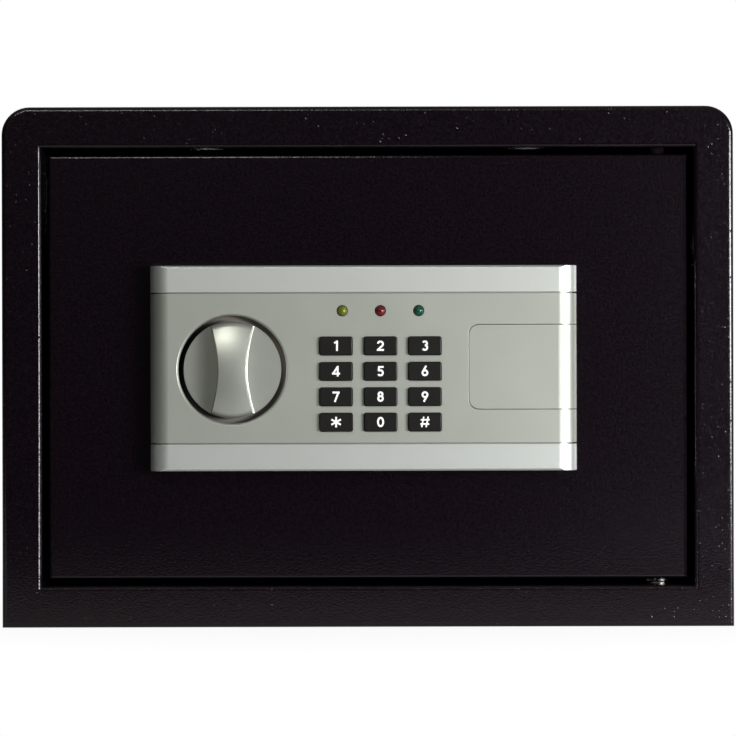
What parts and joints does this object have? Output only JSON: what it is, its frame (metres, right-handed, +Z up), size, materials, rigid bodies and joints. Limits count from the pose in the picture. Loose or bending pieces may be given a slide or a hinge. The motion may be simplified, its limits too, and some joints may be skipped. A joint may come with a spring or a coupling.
{
  "type": "electronic safe",
  "caption": "Small steel safe with rounded top corners, a recessed hinged door, a raised keypad panel, a turning knob with sliding bolts behind it and a covered key lock.",
  "frame": {"origin": "centre of the cabinet's flat bottom face, on the surface it stands on", "axes": "+X to the right seen from the front, which is the hinge side of the door; +Y towards the back plate, so the door faces -Y; +Z up"},
  "size_m": [0.35, 0.268, 0.249],
  "materials": {
    "black_powder_coat": "fine textured powder coat",
    "zinc_plated_steel": "bright zinc plating",
    "felt": "short grey felt",
    "silver_panel": "satin silver paint",
    "silver_knob": "satin silver paint",
    "bright_silver_trim": "semi-gloss silver paint",
    "black_key": "satin with white figures",
    "black_plastic": "fine matt texture",
    "silicone": "translucent grey silicone",
    "circuit_board": "green solder mask",
    "yellow_lamp": "clear tinted dome",
    "red_lamp": "clear tinted dome",
    "green_lamp": "clear tinted dome",
    "brass": "turned",
    "copper_winding": "enamelled wire",
    "cell_jacket": "printed film, blank",
    "red_button": "moulded"
  },
  "bodies": {
    "cabinet": {"cabinet_wrap": "black_powder_coat", "front_frame": "black_powder_coat", "bottom_plate": "black_powder_coat", "back_plate": "black_powder_coat", "floor_mat": "felt", "upper_hinge_bracket": "black_powder_coat", "lower_hinge_bracket": "black_powder_coat", "hinge_washers": "zinc_plated_steel"},
    "door": {"door_panel": "black_powder_coat", "door_pan": "black_powder_coat", "inner_cover": "black_powder_coat", "cover_screws": "zinc_plated_steel", "hinge_blocks": "black_powder_coat", "hinge_pins": "black_powder_coat", "keypad_housing": "silver_panel", "upper_trim_band": "bright_silver_trim", "lower_trim_band": "bright_silver_trim", "panel_screws": "zinc_plated_steel", "spindle_bush": "brass", "key_mat": "silicone", "keypad_board": "circuit_board", "led_yellow": "yellow_lamp", "led_red": "red_lamp", "led_green": "green_lamp", "lock_barrel": "zinc_plated_steel", "lock_nut": "zinc_plated_steel", "bolt_guides": "black_plastic", "guide_posts": "zinc_plated_steel", "solenoid_frame": "zinc_plated_steel", "solenoid_coil": "copper_winding", "plunger_spring": "zinc_plated_steel", "main_board": "circuit_board", "battery_box": "black_plastic", "battery_cells": "cell_jacket", "keypad_cable": "black_plastic"},
    "knob": {"knob_dial": "silver_knob", "knob_spindle": "zinc_plated_steel", "knob_cam": "zinc_plated_steel", "cam_screw": "zinc_plated_steel"},
    "boltwork": {"bolt_carriage": "zinc_plated_steel", "locking_bolts": "zinc_plated_steel", "bolt_screws": "zinc_plated_steel"},
    "plunger": {"solenoid_plunger": "zinc_plated_steel"},
    "lock_cover": {"lock_cover": "silver_panel"},
    "lock_plug": {"lock_plug": "brass", "lock_cam": "zinc_plated_steel"},
    "battery_lid": {"battery_lid": "black_plastic"},
    "reset_button": {"reset_button": "red_button"},
    "key_1": {"key_1": "black_key"},
    "key_2": {"key_2": "black_key"},
    "key_3": {"key_3": "black_key"},
    "key_4": {"key_4": "black_key"},
    "key_5": {"key_5": "black_key"},
    "key_6": {"key_6": "black_key"},
    "key_7": {"key_7": "black_key"},
    "key_8": {"key_8": "black_key"},
    "key_9": {"key_9": "black_key"},
    "key_star": {"key_star": "black_key"},
    "key_0": {"key_0": "black_key"},
    "key_hash": {"key_hash": "black_key"}
  },
  "joints": [
    {"name": "door_hinge", "type": "hinge", "parent": "cabinet", "child": "door", "pos_m": [0.1385, -0.112, 0.1245], "axis": [0, 0, 1], "range_deg": [0, 110]},
    {"name": "knob_turn", "type": "hinge", "parent": "door", "child": "knob", "pos_m": [-0.0645, -0.13, 0.1232], "axis": [0, -1, 0], "range_deg": [0, 90]},
    {"name": "bolt_slide", "type": "slide", "parent": "door", "child": "boltwork", "axis": [-1, 0, 0], "range_m": [0, 0.0198]},
    {"name": "blocking_plunger", "type": "slide", "parent": "door", "child": "plunger", "axis": [0, 0, 1], "range_m": [-0.006, 0], "stiffness_N_per_m": 60, "springref_m": -0.006, "deforming": ["plunger_spring"]},
    {"name": "lock_plug_turn", "type": "hinge", "parent": "door", "child": "lock_plug", "pos_m": [0.074, -0.127, 0.1243], "axis": [0, 1, 0], "range_deg": [0, 90]},
    {"name": "lock_cover_off", "type": "slide", "parent": "door", "child": "lock_cover", "axis": [0, -1, 0], "range_m": [0, 0.02]},
    {"name": "battery_lid_off", "type": "slide", "parent": "door", "child": "battery_lid", "axis": [0, 1, 0], "range_m": [0, 0.03]},
    {"name": "reset_press", "type": "slide", "parent": "door", "child": "reset_button", "axis": [0, -1, 0], "range_m": [0, 0.0008], "stiffness_N_per_m": 800},
    {"name": "key_1_press", "type": "slide", "parent": "door", "child": "key_1", "axis": [0, 1, 0], "range_m": [0, 0.001], "stiffness_N_per_m": 800},
    {"name": "key_2_press", "type": "slide", "parent": "door", "child": "key_2", "axis": [0, 1, 0], "range_m": [0, 0.001], "stiffness_N_per_m": 800},
    {"name": "key_3_press", "type": "slide", "parent": "door", "child": "key_3", "axis": [0, 1, 0], "range_m": [0, 0.001], "stiffness_N_per_m": 800},
    {"name": "key_4_press", "type": "slide", "parent": "door", "child": "key_4", "axis": [0, 1, 0], "range_m": [0, 0.001], "stiffness_N_per_m": 800},
    {"name": "key_5_press", "type": "slide", "parent": "door", "child": "key_5", "axis": [0, 1, 0], "range_m": [0, 0.001], "stiffness_N_per_m": 800},
    {"name": "key_6_press", "type": "slide", "parent": "door", "child": "key_6", "axis": [0, 1, 0], "range_m": [0, 0.001], "stiffness_N_per_m": 800},
    {"name": "key_7_press", "type": "slide", "parent": "door", "child": "key_7", "axis": [0, 1, 0], "range_m": [0, 0.001], "stiffness_N_per_m": 800},
    {"name": "key_8_press", "type": "slide", "parent": "door", "child": "key_8", "axis": [0, 1, 0], "range_m": [0, 0.001], "stiffness_N_per_m": 800},
    {"name": "key_9_press", "type": "slide", "parent": "door", "child": "key_9", "axis": [0, 1, 0], "range_m": [0, 0.001], "stiffness_N_per_m": 800},
    {"name": "key_star_press", "type": "slide", "parent": "door", "child": "key_star", "axis": [0, 1, 0], "range_m": [0, 0.001], "stiffness_N_per_m": 800},
    {"name": "key_0_press", "type": "slide", "parent": "door", "child": "key_0", "axis": [0, 1, 0], "range_m": [0, 0.001], "stiffness_N_per_m": 800},
    {"name": "key_hash_press", "type": "slide", "parent": "door", "child": "key_hash", "axis": [0, 1, 0], "range_m": [0, 0.001], "stiffness_N_per_m": 800}
  ],
  "couplings": [
    {"joint": "knob_turn", "follows": "bolt_slide", "rad_per_m": 79.337}
  ]
}
